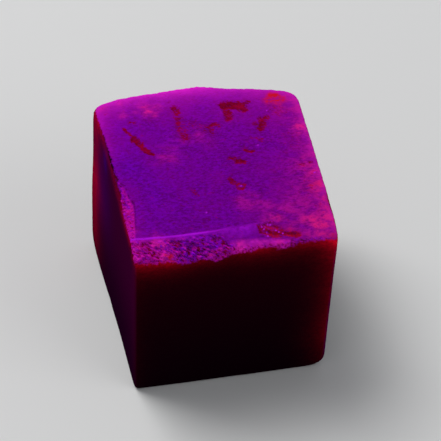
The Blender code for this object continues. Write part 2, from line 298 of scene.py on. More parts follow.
# How strong these glows are along their edges, where that varies: the face, the edge, and the strength
# against x (0), y (1) or z (2). The other upright edges have one curve against z.
GLOW_ALONG = {
    (FRONT, TOP): (
        0, [-10.0, -7.0, -3.0, 0.7, 4.6, 7.5, 8.8, 9.8], [1.1, 1.0, 0.75, 1.05, 1.2, 1.3, 2.0, 4.5],
    ),
    (LEFT, TOP): (1, [-10.0, -7.0, -5.0, -2.0, 3.0, 11.0], [2.2, 2.0, 1.4, 0.6, 0.4, 0.7]),
    (LEFT, BACK): (
        2,
        [-10.0, -9.0, -6.5, -4.0, -1.0, 1.7, 4.0, 6.5, 8.5, 10.0],
        [0.05, 0.09, 0.17, 0.22, 0.27, 0.35, 0.22, 0.16, 0.24, 0.3],
    ),
    (TOP, BACK): (
        0,
        [-10.5, -7.5, -4.5, -3.0, 0.5, 1.6, 3.2, 8.0, 10.0],
        [0.92, 1.0, 1.05, 1.28, 1.28, 1.1, 0.75, 0.78, 0.9],
    ),
    (TOP, RIGHT): (1, [-9.0, -2.0, 2.0, 9.0], [1.22, 1.18, 1.0, 1.0]),
    (TOP, LEFT): (1, [-9.0, -2.0, -0.5, 1.5, 4.0, 8.0], [0.7, 0.5, 0.15, 0.15, 0.9, 1.2]),
}
UPRIGHT_GLOW = ([-10.0, -8.0, -5.0, 0.0, 5.0, 7.5, 10.0], [0.25, 0.55, 1.0, 0.85, 0.95, 1.9, 3.2])

# The hot pink glow along the right edge, painted light: how far it reaches, how strong it is, how much
# of it is orange-red, and how strong it is along the edge, against y.
RIGHT_GLOW_REACH, RIGHT_GLOW_STRENGTH, RIGHT_GLOW_HEAT = 1.7, 0.48, 0.36
RIGHT_GLOW_ALONG = ([-9.0, -1.0, 1.0, 4.0, 9.0], [1.25, 1.2, 0.55, 0.48, 0.9])

# The places of painted bluish light on the left face: how strong each is, its y and z, and how far it
# reaches in them.
LEFT_BLUE_LIGHTS = [
    (0.4, (4.8, 4.0), (3.4, 5.0)),
    (0.8, (3.9, 8.7), (0.9, 1.3)),
]

# The blue-violet light on the far side of the front right and the back left edge: how far it reaches,
# how strong it is, and how soon it comes in as the surface turns that way. The two curves are against
# the height over the top cut.
RIGHT_RIM_REACH = ([-15.0, -6.0], [0.35, 0.2])
RIGHT_RIM_STRENGTH = ([-3.0, -1.2], [1.0, 0.25])
LEFT_RIM_REACH, LEFT_RIM_STRENGTH = 0.5, 0.55
RIM_TURN, RIGHT_RIM_START = 1.6, 0.4
RIM_EVENNESS = 0.85  # the strength that the noise is added to

# ---- Where the frosted skin and the broken stone begin and end ----
# In a pair of places, the first is where something begins and the second is where it is full.

# How far in from each edge of the top its frosted skin, painted as lit from above, ends, against x or y.
# Below 0 it runs over the edge.
SKIN_ENDS = {
    FRONT: (
        [
            -10.0, -9.0, -7.5, -6.5, -5.6, -4.9, -3.5, -2.9, -2.2, -1.8, -0.9, 0.0, 1.4, 2.2,
            3.8, 4.6, 5.4, 6.2, 10.0,
        ],
        [
            0.1, 0.12, 0.1, 0.12, 0.0, -0.4, -0.28, -0.25, -0.5, -0.9, -0.75, -0.45, -0.4, 0.0,
            -0.2, -0.66, -0.5, -0.28, -0.22,
        ],
    ),
    LEFT: (
        [-10.0, -9.0, -8.2, -7.4, -6.3, -5.3, -4.3, -3.5, -2.9, -1.6, 0.0, 6.0, 9.0, 11.0],
        [-0.25, -0.28, -0.22, -0.04, 0.0, 0.04, 0.02, 0.06, 0.18, 0.38, 0.42, 0.28, 0.1, 0.0],
    ),
    RIGHT: ([-10.0, 11.0], [-0.1, -0.1]),
    BACK: ([-10.0, 11.0], [-0.25, -0.25]),
}
SKIN_FADE = (-0.12, 0.12)
CALM_SHARE = 0.3  # how ragged the skin's ends at the right and the back are, against the other two
FRAYED_PLACE, FRAYED_REACH, FRAYED_MORE = 1.2, 1.8, 1.3  # where the left end of the skin is most ragged

TOP_ABOVE = 7.5  # the marks of the top are only above this height
CREASE_BEND = 0.95  # how much of the side chip's depth the crease bends back by

# The scoop of the front chip is in front of the crease and left of a slanting line.
SCOOP_FRONT, SCOOP_UP, SCOOP_RIGHT = (0.0, 0.4), (7.9, 8.5), (-0.3, -1.2)
SCOOP_SLANT, SCOOP_SLANT_Y = 0.9, -8.7
# The side chip, outwards from its inner line, and how broken it is.
SIDE_OUT, SIDE_UP, SIDE_SHARE = (0.0, 0.3), (9.0, 9.4), 0.58
SIDE_CHIP_FRONT_Y = -8.0  # in front of this the side chip runs into the front chip
# The ledge, by how far it stands out and by y, and how broken it is.
LEDGE_OUT, LEDGE_BACK, LEDGE_SHARE = (0.25, 0.8), (9.4, 10.4), 0.3
# The narrow lip along the foot of the front chip, and how broken it is.
LIP_FRONT, LIP_UP, LIP_RIGHT, LIP_SHARE = (-9.25, -9.6), (7.6, 8.4), (9.9, 8.0), 0.62
# The stretch of that lip whose crumbs are low.
LOW_LIP_FRONT, LOW_LIP_LEFT, LOW_LIP_RIGHT = (-9.35, -9.65), (-3.5, -2.5), (8.0, 6.0)
LIP_LOW, SIDE_CHIP_LOW = 0.38, 0.15  # how much lower the crumbs are along the lip and in the side chip

# The worn edges of the top, by how far outside the right or back cut and the top cut a point is.
WORN_EDGE, WORN_TOP = (-0.55, -0.05), (-0.7, -0.1)

# The painted highlight along the crease, and the softer painted light on the slope below it, which reaches
# further where the slope is long. The strengths and that reach are against x.
CREASE_STRENGTH = ([-10.0, -6.5, -4.5, -2.5, -1.0, 2.0], [0.95, 0.95, 1.0, 0.85, 0.45, 0.0])
CREASE_SHIFT, CREASE_FADE = 0.02, (0.16, 0.02)
SLOPE_STRENGTH = ([-10.0, -6.0, -4.5, -2.0, 0.0, 1.0, 4.5], [0.1, 0.32, 0.5, 0.28, 0.38, 0.5, 0.0])
SLOPE_REACH, SLOPE_FRONT = ([-3.0, 0.0], [0.7, 1.7]), (-0.1, 0.1)
SLOPE_EVENNESS = 0.95

# The light on the worn bevel to the right of the scoop, whose back edge turns backwards past one x.
BEVEL_LEFT, BEVEL_RIGHT, BEVEL_FRONT = (-0.8, 0.4), (6.0, 4.6), (-8.7, -9.15)
BEVEL_TURN_X, BEVEL_TURN = 2.0, 0.12
BEVEL_EVENNESS = 0.36

# Where the broken stone is pink: the left of the scoop, the side chip against y, and part of the lip.
ROSY_LEFT, ROSY_LEFT_WANDER, ROSY_FRONT = (-3.4, -7.6), 1.3, (0.0, 0.1)
ROSY_SIDE, ROSY_SIDE_OUT = ([-8.0, -5.5, -3.5, -1.5, 0.0], [0.85, 0.8, 0.55, 0.3, 0.0]), (-0.05, 0.12)
ROSY_LIP, ROSY_LIP_WANDER, ROSY_LIP_SHARE = (-9.2, -9.6), 0.2, 0.80
ROSY_LIP_LEFT, ROSY_LIP_RIGHT = (-4.5, -1.0), (7.0, 4.5)

FACING = (0.3, 0.9)  # how squarely a surface faces one way before it belongs to the face on that side
BROKEN_SOON = 1.5  # how much sooner the colour of broken stone is full than its roughness

# ---- Noise ----

SAWN_RELIEF, SAWN_GRAIN = 0.035, 5.0  # how far the sawn faces stray, and how wide their lumps are
BROKEN_RELIEF, BROKEN_GRAIN = 0.17, 0.95  # the same for the broken stone
CORNER_RELIEF = ([-9.8, -9.0], [0.2, 1.0])  # its share that is left near the left corner, against x
CRUMBS, FROST, SAW_MARKS = 0.10, 0.010, 0.006  # how high these are
SAW_MARK_WIDTH, SAW_MARK_LENGTH = 0.45, 4.0
SIDEWAYS = 0.7  # how squarely a surface faces left or right before its saw marks run along y
EDGE_BUMPS, RIM_BUMPS = 0.045, 0.5  # how high the worn edges' bumps are, and how they change the rim
PIT_CRUMBS = 3.0  # how much of the crumbs a bare pit has, for each millimetre of its depth

# The crumbs lie in streaks that lean this way across the chip: the cosine and sine of the angle.
LEAN = (0.81, 0.59)
CRUMB_STRETCH = (0.50, 1.20, 0.9)  # the scale of their noise along the streaks, across them and up
CRUMB_SHARE, GROOVE_SHARE = 0.95, 0.32
GROOVE_LEVEL, GROOVE_STEEPNESS = 0.40, 1.6  # a groove is where the level less a noise is high

# Each noise is a sum of these: how strong it is, how large its largest lumps are, how many layers of
# finer and finer lumps it has, and where in the endless noise it is taken.
NOISES = {
    "skin end": [(0.08, 0.75, 2, 2.2), (0.15, 0.24, 2, 8.2)],
    "scoop end": [(0.4, 0.8, 2, 9.4)],
    "patches in x": [(0.13, 0.50, 2, 3.1), (0.07, 0.20, 1, 7.7)],
    "patches in y": [(0.13, 0.50, 2, 5.3), (0.07, 0.20, 1, 1.9)],
    "places in x": [(0.45, 1.3, 3, 13.0)],
    "places in y": [(0.45, 1.3, 3, 31.0)],
    "worn edge": [(1.0, 0.42, 2, 45.0)],
    "crease": [(0.05, 0.9, 1, 17.0)],
    "slope": [(0.60, 0.45, 2, 29.0)],
    "bevel end": [(0.10, 0.8, 2, 27.0)],
    "bevel": [(0.28, 0.32, 2, 51.0)],
    "seam": [(0.10, 0.30, 2, 4.4)],
    "seam gaps": [(1.0, 0.7, 2, 21.0)],
    "rosy": [(1.0, 0.9, 3, 6.1)],
    "blue rim": [(0.5, 1.1, 3, 33.0)],
    "crumbs": [(1.0, 0.22, 3, 11.0)],
    "grooves": [(1.0, 0.36, 2, 23.0)],
    "saw marks": [(SAW_MARKS, 1.0, 1, 40.0)],
    "frost": [(FROST, 0.24, 2, 17.0)],
}

# ---- The finer grid ----

CELLS = 82  # grid cells along each side of each face, before the detailed ones are split
CELL_CROWDING = 0.10  # how strongly the cells crowd towards the edges
FLAT_WITHIN = 0.06  # points this close to the table are set on it
INSIDE_BOX = 0.002 * MM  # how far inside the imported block's box the finer one stays
RAY_NEAR, RAY_FAR, HALVINGS = 0.6, 1.3, 22  # where the surface is searched for along each ray
NORMAL_STEP = 0.02  # how far to both sides of a point the slope of the stone is measured
# Cells are split above one height, and once more in the scoop, the side chip and the deep pits, each
# with a margin around it.
SPLIT_ABOVE, SPLIT_CHIP_ABOVE, SPLIT_SCOOP_LEFT_OF = 8.6, 7.6, 1.6
SPLIT_CHIP_MARGIN, SPLIT_PIT_MARGIN, SPLIT_PIT_DEPTH = 0.2, 0.25, 0.1

# ---- Colours, as linear red, green and blue ----

# The violet of the top's frosted skin is painted light: the violet light that falls on it from above.
VIOLET_DARK = (0.112, 0.0001, 0.125)
VIOLET_LIGHT = (0.2, 0.0003, 0.455)
VIOLET_WARM = (0.225, 0.001, 0.285)
BLUE_DARK = (0.095, 0.0001, 0.2)
BLUE_LIGHT = (0.165, 0.0003, 0.58)
CRIMSON = (0.185, 0.0002, 0.02)
RED = (0.31, 0.0008, 0.036)
ORANGE_RED = (0.68, 0.007, 0.03)
VIOLET_HAZE = (0.48, 0.004, 0.5)
PINK = (0.8, 0.013, 0.29)
RIM = (0.95, 0.02, 0.74)
# A painted highlight along the crease.
CREASE_HIGHLIGHT = (0.54, 0.008, 0.9)
SPARKLE = (0.6, 0.015, 0.9)
# The broken stone: its bright colours are painted highlight on the high crumbs, its hollow colours painted
# shade.
BROKEN_VIOLET = (0.21, 0.0006, 0.425)
BRIGHT_VIOLET = (0.35, 0.002, 0.98)
BROKEN_PINK = (0.525, 0.004, 0.375)
BRIGHT_PINK = (0.86, 0.015, 0.56)
HOLLOW_DARK = (0.108, 0.0002, 0.014)
HOLLOW_RED = (0.27, 0.0003, 0.018)
SEAM_DARK = (0.06, 0.0002, 0.045)
# The side faces: the deep red stone in painted shade, darker towards the bottom; the left face lighter with
# painted violet light from that side, bluish where it is strongest.
SIDE_SHADE_LOW = (0.006, 0.0003, 0.003)
SIDE_SHADE_HIGH = (0.011, 0.0003, 0.003)
LEFT_LOW = (0.015, 0.0003, 0.012)
LEFT_HIGH = (0.043, 0.0003, 0.0245)
LEFT_BLUE = (0.036, 0.0003, 0.125)
RIM_BLUE = (0.05, 0.0003, 0.13)
RED_GLOW = (0.9, 0.002, 0.024)

# The noises of the material: the size of the lumps in millimetres, the detail and the roughness.
SPECKLE = (0.20, 3.0, 0.65)
MOTTLE = (0.80, 4.0, 0.60)
CLOUD = (3.2, 2.0, 0.5)
SPOTS = (0.42, 1.0, 0.5)
FLECKS = (0.17, 2.0, 0.6)
TINT = (0.24, 2.0, 0.6)
SKIN_STREAKS = (0.6, 1.0, 1.0)  # the speckle and the mottle are drawn out a little along x
FLECK_LEAN = -36.0  # degrees
FLECK_STRETCH = (2.0, 0.85, 1.2)

# What each noise or mask is turned into: from which of its values to which, and to which values.
# Where the last two are left out, they are 0 and 1.
VIOLET_SPECKLE = (0.28, 0.72)
WARM_CLOUD = (0.35, 0.70, 0.0, 0.45)
LIGHT_MOTTLE = (0.50, 0.72, 0.0, 0.32)
CRIMSON_SPOTS = (0.62, 0.72, 0.0, 0.32)
PATCHY_MOTTLE = (0.36, 0.62, 0.40, 1.42)
PATCHY_SPECKLE = (0.28, 0.72, 0.75, 1.25)
EVEN_MOTTLE = (0.30, 0.65, 0.85, 1.10)
CRUMB_FLECKS = (0.25, 0.75, -0.95, 0.95)
ROSY_TINT = (0.30, 0.70, -0.72, 0.72)
BRIGHT_CRUMBS = (0.30, 1.00, 0.0, 0.9)
OUT_OF_HOLLOW = (-1.15, -0.02)
IN_HOLLOW = (-1.05, 0.05, 0.75, 0.0)
FRAYED_FLECKS = (0.25, 0.75, -0.40, 0.40)
FRAYED_SPECKLE = (0.25, 0.75, -0.32, 0.32)
RED_MOTTLE = (0.35, 0.65)
BARE_ENOUGH = (0.20, 0.95)
GLOW_MOTTLE = (0.25, 0.70, 0.80, 1.10)
GLOW_SPECKLE = (0.25, 0.75, 0.75, 1.25)
SIDE_HEIGHTS = (1.0, 17.0)
BARE_ROUGHNESS = (0.0, 1.0, 0.62, 0.35)
ROSY_SKIN, PINK_CRUMBS, SEAM_SHARE = 0.75, 0.5, 0.7  # how much these masks change the colours
BUMP_STRENGTH, BUMP_HEIGHT = 0.6, 0.02 * MM

# ---- The studio ----

FLOOR_REACH = 3.0
FLOOR_COLOUR, FLOOR_ROUGHNESS = (0.82, 0.82, 0.81), 0.9
SKY_COLOUR, SKY_STRENGTH = (0.92, 0.94, 1.0), 0.24
# Square soft lights: the name, the place, the width and the power in watts.
LIGHTS = [
    ("key_light", (-0.22, 0.26, 0.55), 0.35, 2.6),
    ("fill_light", (0.45, -0.35, 0.40), 0.45, 0.6),
]
CAMERA_AZIMUTH, CAMERA_ELEVATION, CAMERA_ROLL = -13.51, 47.16, 3.56  # degrees
CAMERA_AIM = (1.543 * MM, 1.445 * MM, HALF * MM)
CAMERA_DISTANCE = 174.0 * MM
CAMERA_NEAREST = 0.01
LENS_MM = 140.0


# ---- Shape ----

def unit(direction):
    direction = np.array(direction, float)
    return direction / np.linalg.norm(direction)


def stone_corner(cuts):
    """The point where three saw cuts meet."""
    normals = np.array([unit(SAW_CUTS[cut][0]) for cut in cuts])
    offsets = np.array([SAW_CUTS[cut][1] for cut in cuts])
    return np.linalg.solve(normals, offsets)


def bite_centre(cuts, place, radius, depth):
    """The middle of the ball that bites into the edge where two cuts meet."""
    facing = [unit(SAW_CUTS[cut][0]) for cut in cuts]
    along = np.abs(np.round(np.cross(*facing)))
    edge_point = np.linalg.solve([*facing, along], [SAW_CUTS[cuts[0]][1], SAW_CUTS[cuts[1]][1], place])
    return edge_point + unit(facing[0] + facing[1]) * (radius - depth)


def clamp(values):
    return np.clip(values, 0.0, 1.0)


def rise(low, high, value):
    """0 at low, 1 at high and smooth between them, whichever of the two is the larger."""
    share = clamp((value - low) / (high - low))
    return share * share * (3.0 - 2.0 * share)


def soft_max(heights, blur):
    """The largest of several heights, with the corner between any two rounded by about blur."""
    return blur * np.logaddexp.reduce(np.array(heights) / blur, axis=0)


def bend(distance, blur):
    """Zero before the line, the distance past it, and a curve of width blur between the two."""
    return blur * np.logaddexp(0.0, distance / blur)


def distance_to_line(x, y, points):
    nearest = np.full(x.shape, np.inf)
    for (x0, y0), (x1, y1) in zip(points, points[1:]):
        along = ((x - x0) * (x1 - x0) + (y - y0) * (y1 - y0)) / ((x1 - x0) ** 2 + (y1 - y0) ** 2)
        along = clamp(along)
        gap = np.hypot(x - x0 - along * (x1 - x0), y - y0 - along * (y1 - y0))
        nearest = np.minimum(nearest, gap)
    return nearest


def front_chip_depth(x, y):
    crease = np.interp(x, *CREASE)
    slope = np.interp(x, *FRONT_DROP) / (crease - FRONT_EDGE_Y)
    return slope * bend(crease - y, np.interp(x, *CREASE_BLUR))


def past_side_line(x, y):
    """How far each point is outside the inner line of the side chip."""
    return np.interp(y, *SIDE_CHIP) - x


def side_chip_depth(x, y):
    return SIDE_CHIP_SLOPE * bend(past_side_line(x, y), SIDE_CHIP_BLUR)


def ledge_reach(x, z):
    return np.interp(x, *LEDGE) * rise(LEDGE_FOOT, LEDGE_FULL, z)


def cut_heights(points):
    """How far each point is outside each saw cut, chips and ledge included."""
    x, y, z = points.T
    heights = {cut: points @ unit(direction) - offset for cut, (direction, offset) in SAW_CUTS.items()}
    heights[TOP] += front_chip_depth(x, y) + side_chip_depth(x, y)
    heights[BACK] -= ledge_reach(x, z)
    heights[LEFT] -= LEFT_WANDER * rise(*LEFT_WANDER_BACK, y) * rise(*LEFT_WANDER_DOWN, z)
    return heights


def depth_outside(points):
    """How far each point is outside the stone, before its pits and its grain."""
    heights = list(cut_heights(points).values())
    for cuts, direction, bite in CORNER_FLATS:
        heights.append((points - stone_corner(cuts)) @ unit(direction) + bite)
    fresh = [soft_max(heights, EDGE_WEAR)]
    for cuts, place, radius, depth in EDGE_BITES:
        centre = bite_centre(cuts, place, radius, depth)
        fresh.append(radius - np.linalg.norm(points - centre, axis=1))
    return soft_max(fresh, BITE_WEAR)


def onto_stone(points):
    """Each point moved along the ray from the middle of the block until it is on the stone."""
    near, far = np.full(len(points), RAY_NEAR), np.full(len(points), RAY_FAR)
    for _ in range(HALVINGS):
        middle = (near + far) / 2
        outside = depth_outside(points * middle[:, None]) > 0
        far = np.where(outside, middle, far)
        near = np.where(outside, near, middle)
    return points * near[:, None]


def smooth_normals(points):
    """The way out of the smooth stone at each point."""
    slopes = [
        depth_outside(points + NORMAL_STEP * axis) - depth_outside(points - NORMAL_STEP * axis)
        for axis in np.eye(3)
    ]
    slopes = np.array(slopes).T
    return slopes / np.linalg.norm(slopes, axis=1)[:, None]


def grid_to_block(grid):
    """Stretches the cube from -1 to 1 so that its corners lie where the saw cuts meet."""
    crowded = grid * (1 + CELL_CROWDING) - CELL_CROWDING * grid**3
    block = np.zeros(grid.shape)
    for side_x, cut_x in ((-1, LEFT), (1, RIGHT)):
        for side_y, cut_y in ((-1, FRONT), (1, BACK)):
            for side_z, cut_z in ((-1, BOTTOM), (1, TOP)):
                share = np.prod((1 + crowded * (side_x, side_y, side_z)) / 2, axis=1)
                block += share[:, None] * stone_corner((cut_x, cut_y, cut_z))
    return block


# ---- Masks ----

def wander(points, name):
    """The noise of this name: it strays both ways from 0, about as far as its strengths say."""
    total = np.zeros(len(points))
    for strength, size, layers, place in NOISES[name]:
        steps = points / size + place
        total += strength * np.array([noise.fractal(Vector(step), 1.0, 2.0, layers) for step in steps])
    return total


def lit_skin_coverage(points, heights):
    """1 on the frosted top, painted as lit from above, 0 on the side faces, painted in shade, with a ragged
    line between them.
    """
    x, y, _ = points.T
    ragged = wander(points, "skin end")
    frayed = 1.0 + FRAYED_MORE * np.exp(-(((y - FRAYED_PLACE) / FRAYED_REACH) ** 2))
    raggedness = {FRONT: 1.0, LEFT: frayed, RIGHT: CALM_SHARE, BACK: CALM_SHARE}
    skin = np.ones(len(points))
    for cut, ends in SKIN_ENDS.items():
        end = np.interp(x if cut in (FRONT, BACK) else y, *ends)
        from_edge = heights[TOP] - heights[cut] - end + ragged * raggedness[cut]
        skin = np.minimum(skin, rise(*SKIN_FADE, from_edge))
    return skin


def behind_crease(x, y):
    """How far behind the crease each point is; across the lower side chip the crease bends back a little."""
    return y - np.interp(x, *CREASE) - CREASE_BEND * side_chip_depth(x, y)


def brokenness(points):
    """1 where the stone is broken, 0 where it is sawn."""
    x, y, z = points.T
    slanting = x + SCOOP_SLANT * (y - SCOOP_SLANT_Y) + wander(points, "scoop end")
    scoop = rise(*SCOOP_FRONT, -behind_crease(x, y)) * rise(*SCOOP_RIGHT, slanting)
    scoop *= rise(*SCOOP_UP, z)
    side = rise(*SIDE_OUT, past_side_line(x, y)) * rise(*SIDE_UP, z)
    ledge = rise(*LEDGE_OUT, ledge_reach(x, z)) * rise(*LEDGE_BACK, y)
    lip = LIP_SHARE * rise(*LIP_FRONT, y) * rise(*LIP_UP, z) * rise(*LIP_RIGHT, x)
    return clamp(np.maximum.reduce([scoop, SIDE_SHARE * side, LEDGE_SHARE * ledge, lip]))


def patch_at(gap, half_width, deepest, strength, form):
    """How bare and how deep a patch is, this far from the line along it."""
    reach, full, deep, margin = form
    bare = strength * rise(half_width * reach + margin, half_width * full, gap)
    return bare, deepest * rise(half_width * deep, 0.0, gap)


def bare_patches(points):
    """How bare the top is at each point, and how deep its pits are there."""
    x, y, z = points.T
    x = x + wander(points, "patches in x")
    y = y + wander(points, "patches in y")
    (ring_x, ring_y), radius, *ring = RING_PIT
    ring_gap = np.abs(np.hypot(x - ring_x, y - ring_y) - radius)
    bare, depth = patch_at(ring_gap, *ring, RING_FORM)
    for line, *patch in BARE_PATCHES:
        patch_bare, patch_depth = patch_at(distance_to_line(x, y, line), *patch, PATCH_FORM)
        bare = np.maximum(bare, patch_bare)
        depth = np.maximum(depth, patch_depth)
    return bare * (z > TOP_ABOVE), depth * (z > TOP_ABOVE)


def hump(x, y, middle, spread):
    """1 in the middle of a soft round place, less and less away from it."""
    return np.exp(-((x - middle[0]) ** 2 + (y - middle[1]) ** 2) / spread)


def chip_lumps(points):
    """The listed hollows and lumps of the broken stone, from about -1 to 1."""
    x, y, z = points.T
    amount = np.zeros(len(points))
    for middle, radius, height in CHIP_LUMPS:
        amount += height * hump(x, y, middle, radius**2)
    lip = rise(*LOW_LIP_FRONT, y) * rise(*LOW_LIP_LEFT, x) * rise(*LOW_LIP_RIGHT, x)
    side = rise(*SIDE_OUT, past_side_line(x, y)) * (y > SIDE_CHIP_FRONT_Y)
    return (amount - LIP_LOW * lip - SIDE_CHIP_LOW * side) * (z > TOP_ABOVE)


def soft_places(points, places):
    """Soft places on the top, pulled out of shape by noise and added up."""
    x, y, z = points.T
    x = x + wander(points, "places in x")
    y = y + wander(points, "places in y")
    amount = np.zeros(len(points))
    for middle, radius, strength in places:
        amount += strength * hump(x, y, middle, PLACE_SPREAD * radius**2)
    return clamp(amount) * (z > TOP_ABOVE)


def small_mark(gap, radius):
    """1 in the middle of a small mark, 0 past its radius."""
    return rise(radius, MARK_CORE * radius, gap)


def sparkle(points):
    x, y, z = points.T
    bright = np.zeros(len(points))
    for spark_x, spark_y in SPARKLES:
        bright = np.maximum(bright, small_mark(np.hypot(x - spark_x, y - spark_y), SPARKLE_RADIUS))
    return bright * (z > TOP_ABOVE)


def worn_edge(points, heights):
    """The small bumps along the right and back edges of the top, from about -1 to 1."""
    near = rise(*WORN_EDGE, np.maximum(heights[RIGHT], heights[BACK]))
    return near * rise(*WORN_TOP, heights[TOP]) * wander(points, "worn edge")


def crease_highlight(points):
    """The painted highlight on the worn line along the top of the front chip, and the painted light on the
    slope below it.
    """
    x, y, z = points.T
    slope = -behind_crease(x, y)
    gap = np.abs(slope + CREASE_SHIFT + wander(points, "crease"))
    line = np.interp(x, *CREASE_STRENGTH) * rise(*CREASE_FADE, gap)
    soft = np.interp(x, *SLOPE_STRENGTH) * rise(1.0, 0.0, slope / np.interp(x, *SLOPE_REACH))
    soft = soft * rise(*SLOPE_FRONT, slope) * (SLOPE_EVENNESS + wander(points, "slope"))
    return np.maximum(line, soft) * (z > TOP_ABOVE)


def bevel_sheen(points):
    """The pink light on the worn bevel to the right of the scoop."""
    x, y, z = points.T
    turned = y + BEVEL_TURN * np.maximum(x - BEVEL_TURN_X, 0.0) + wander(points, "bevel end")
    along = rise(*BEVEL_LEFT, x) * rise(*BEVEL_RIGHT, x)
    patchy = BEVEL_EVENNESS + wander(points, "bevel")
    return patchy * along * rise(*BEVEL_FRONT, turned) * (z > TOP_ABOVE)


def seam_line(points):
    """The dark, broken line along the inside of the side chip."""
    x, y, z = points.T
    gap = distance_to_line(x, y, SEAM) + wander(points, "seam")
    whole = rise(*SEAM_GAPS, wander(points, "seam gaps"))
    return np.interp(y, *SEAM_STRENGTH) * whole * small_mark(gap, SEAM_HALF_WIDTH) * (z > SEAM_ABOVE)


def rosiness(points):
    """How pink the broken stone is: most in the side chip and at the left of the scoop."""
    x, y, z = points.T
    hue = wander(points, "rosy")
    left = rise(*ROSY_LEFT, x + ROSY_LEFT_WANDER * hue)
    left = left * rise(*ROSY_FRONT, -behind_crease(x, y))
    side = np.interp(y, *ROSY_SIDE) * rise(*ROSY_SIDE_OUT, past_side_line(x, y))
    lip = ROSY_LIP_SHARE * rise(*ROSY_LIP, y + ROSY_LIP_WANDER * hue)
    lip = lip * rise(*ROSY_LIP_RIGHT, x) * rise(*ROSY_LIP_LEFT, x)
    return np.maximum.reduce([left, side, lip]) * (z > TOP_ABOVE)


def inwards(heights, reach):
    """1 at a cut and outside it, less and less inside it."""
    return np.exp(np.minimum(heights, 0.0) / reach)


def along_edge(points, face, edge):
    """How strong the glow of a face is along one of its edges."""
    if (face, edge) in GLOW_ALONG:
        axis, places, strengths = GLOW_ALONG[face, edge]
        return np.interp(points[:, axis], places, strengths)
    if TOP in (face, edge):
        return 1.0
    return np.interp(points[:, 2], *UPRIGHT_GLOW)


def top_glow(points, heights):
    """The magenta rim along the edges of the top, and the violet haze behind it."""
    rim, haze = np.zeros(len(points)), np.zeros(len(points))
    for edge, rim_reach, rim_strength, haze_reach, haze_strength in TOP_GLOWS:
        along = along_edge(points, TOP, edge)
        rim += along * rim_strength * inwards(heights[edge], rim_reach)
        haze += along * haze_strength * inwards(heights[edge], haze_reach)
    return clamp(rim), clamp(haze)


def right_edge_glow(points, heights):
    """The painted hot pink glow along the right edge of the top."""
    right_glow = RIGHT_GLOW_STRENGTH * inwards(heights[RIGHT], RIGHT_GLOW_REACH)
    return right_glow * np.interp(points[:, 1], *RIGHT_GLOW_ALONG)


def side_glow(points, normals, heights):
    """The red glow along the edges of the four side faces."""
    glow = np.zeros(len(points))
    for face, edge, plateau, reach, strength in SIDE_GLOWS:
        facing = rise(*FACING, normals @ unit(SAW_CUTS[face][0]))
        along = along_edge(points, face, edge)
        glow += facing * along * strength * inwards(heights[edge] + plateau, reach)
    return clamp(glow)


def left_blue_light(points, normals):
    """The painted bluish light in the upper part of the left face."""
    _, y, z = points.T
    blue = np.zeros(len(points))
    for strength, (place_y, place_z), (reach_y, reach_z) in LEFT_BLUE_LIGHTS:
        blue += strength * np.exp(-(((y - place_y) / reach_y) ** 2) - ((z - place_z) / reach_z) ** 2)
    return clamp(blue) * clamp(-normals[:, 0])


def blue_rim(points, normals, heights):
    """The thin blue-violet light on the far side of the two upright edges that stand out."""
    right = inwards(heights[FRONT], np.interp(heights[TOP], *RIGHT_RIM_REACH))
    right = right * clamp(RIM_TURN * normals[:, 0] - RIGHT_RIM_START)
    right = right * np.interp(heights[TOP], *RIGHT_RIM_STRENGTH)
    left = LEFT_RIM_STRENGTH * inwards(heights[LEFT], LEFT_RIM_REACH)
    left = left * clamp(RIM_TURN * normals[:, 1])
    return np.maximum(right, left) * (RIM_EVENNESS + wander(points, "blue rim"))


# ---- The stone ----

def detail_level(middles):
    """How many times the cells with these middles are split: 1 on the top, 2 in chips and pits."""
    x, y, z = middles.T
    level = (z > SPLIT_ABOVE).astype(int)
    chipped = (np.interp(x, *CREASE) - y > -SPLIT_CHIP_MARGIN) & (x < SPLIT_SCOOP_LEFT_OF)
    chipped &= z > SPLIT_CHIP_ABOVE
    beside = (past_side_line(x, y) > -SPLIT_CHIP_MARGIN) & (y > SIDE_CHIP_FRONT_Y)
    chipped |= beside & (z > SEAM_ABOVE)
    for line, half_width, deepest, _ in BARE_PATCHES:
        if deepest > SPLIT_PIT_DEPTH:
            chipped |= (distance_to_line(x, y, line) < half_width + SPLIT_PIT_MARGIN) & (z > SPLIT_ABOVE)
    level[chipped] = 2
    return level


def split_cells(shape, level):
    """Splits the cells whose detail level is at least this one."""
    shape.faces.index_update()
    shape.edges.index_update()
    middles = onto_stone(grid_to_block(np.array([face.calc_center_median() for face in shape.faces])))
    wanted = detail_level(middles) >= level
    edges = {edge for face in shape.faces if wanted[face.index] for edge in face.edges}
    edges = sorted(edges, key=lambda edge: edge.index)
    bmesh.ops.subdivide_edges(shape, edges=edges, cuts=1, use_grid_fill=True)


def fine_grid():
    """A cube from -1 to 1, with more cells where the stone has detail."""
    shape = bmesh.new()
    bmesh.ops.create_cube(shape, size=2.0)
    bmesh.ops.subdivide_edges(shape, edges=shape.edges[:], cuts=CELLS - 1, use_grid_fill=True)
    split_cells(shape, 1)
    split_cells(shape, 2)
    return shape


def crumb_heights(points):
    """How high the crumbs of the broken stone are, from -1 to 1, in streaks that lean across the chip."""
    x, y, z = points.T
    along = LEAN[0] * x - LEAN[1] * y
    across = LEAN[1] * x + LEAN[0] * y
    leaning = np.column_stack([along, across, z]) * CRUMB_STRETCH
    grooves = GROOVE_LEVEL - np.abs(wander(leaning, "grooves")) * GROOVE_STEEPNESS
    crumbs = CRUMB_SHARE * wander(leaning, "crumbs") - GROOVE_SHARE * grooves
    return np.clip(crumbs + chip_lumps(points), -1.0, 1.0)


def saw_marks(points, normals):
    """The faint marks of the saw, along y on the left and right faces and along x elsewhere."""
    sideways = np.abs(normals[:, 0]) > SIDEWAYS
    along_x = (SAW_MARK_LENGTH, SAW_MARK_WIDTH, SAW_MARK_WIDTH)
    along_y = (SAW_MARK_WIDTH, SAW_MARK_LENGTH, SAW_MARK_WIDTH)
    return wander(points / np.where(sideways[:, None], along_y, along_x), "saw marks")


